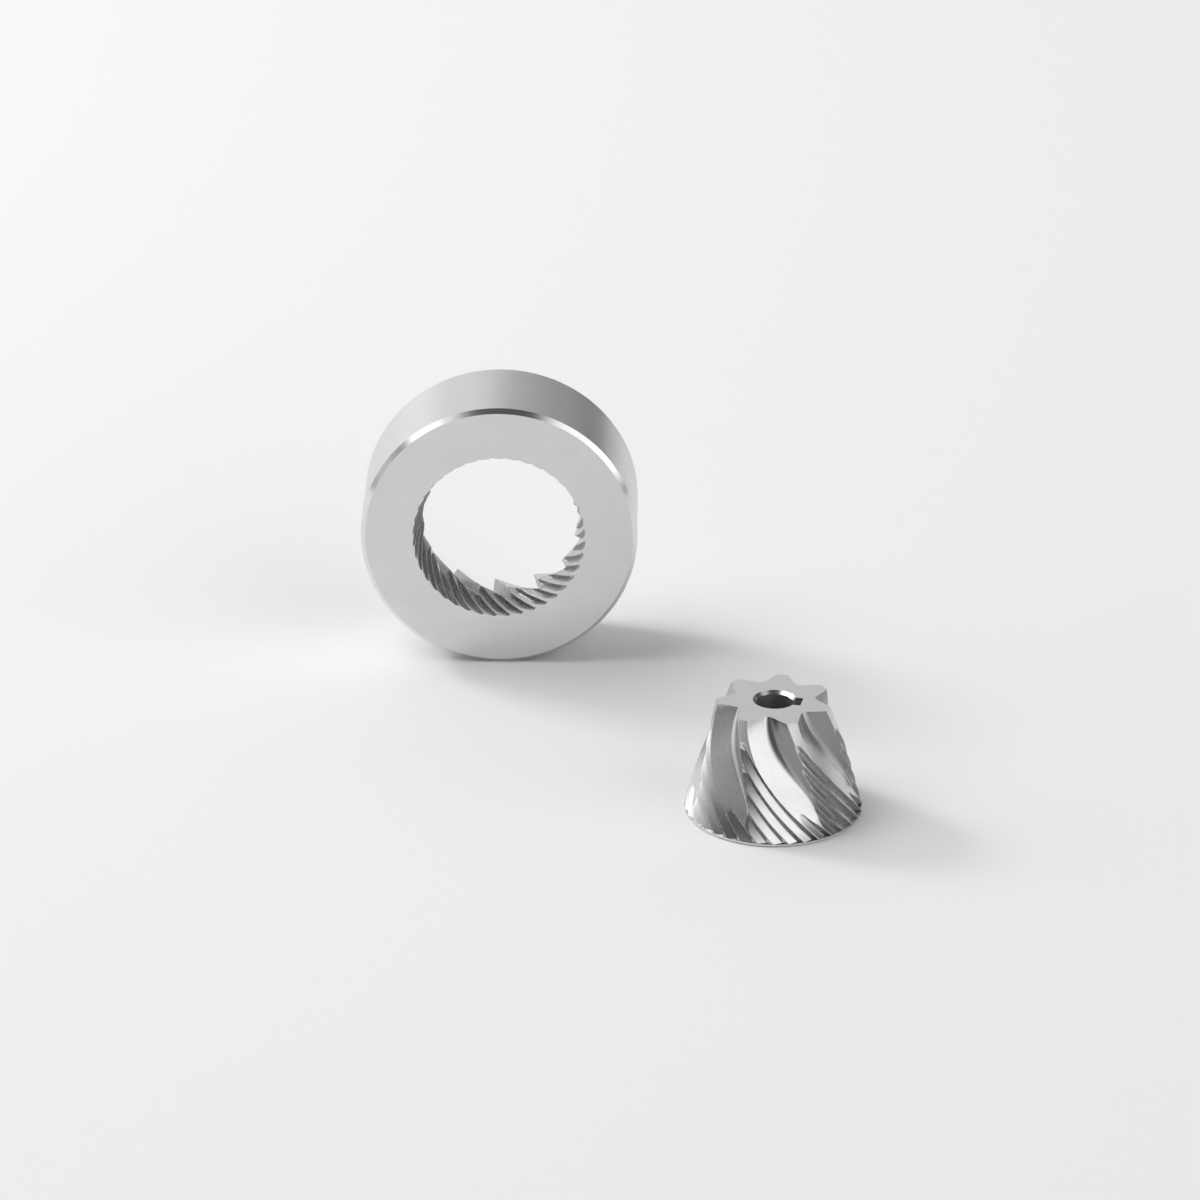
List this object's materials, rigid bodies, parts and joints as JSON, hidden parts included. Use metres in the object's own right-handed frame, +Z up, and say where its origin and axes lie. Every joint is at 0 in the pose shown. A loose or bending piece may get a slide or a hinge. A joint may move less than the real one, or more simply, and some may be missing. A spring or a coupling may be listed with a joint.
{
  "type": "conical burr set",
  "caption": "Hardened steel conical grinding burr pair for a coffee grinder: a fluted cone burr with a keyed shaft bore, and the toothed ring burr that it turns in.",
  "frame": {"origin": "middle of the cone burr's wide end, on the axis of its shaft bore; the set stands on the plane Z = 0", "axes": "+Z up, along the cone burr's axis towards its narrow end; +Y along the ring burr's axis, from its fine face to its coarse face; the ring burr stands on its rim at -X, +Y"},
  "size_m": [0.1124, 0.1169, 0.063],
  "materials": {
    "ring_steel": "hardened steel, faces fine ground, rim turned satin",
    "cone_steel": "hardened steel, end face and flutes ground"
  },
  "bodies": {
    "ring": {"ring_burr": "ring_steel"},
    "cone": {"cone_burr": "cone_steel"}
  },
  "joints": [
    {"name": "cone_spin", "type": "hinge", "parent": "ring", "child": "cone", "pos_m": [0, 0, 0], "axis": [0, 0, -1], "continuous": true}
  ]
}
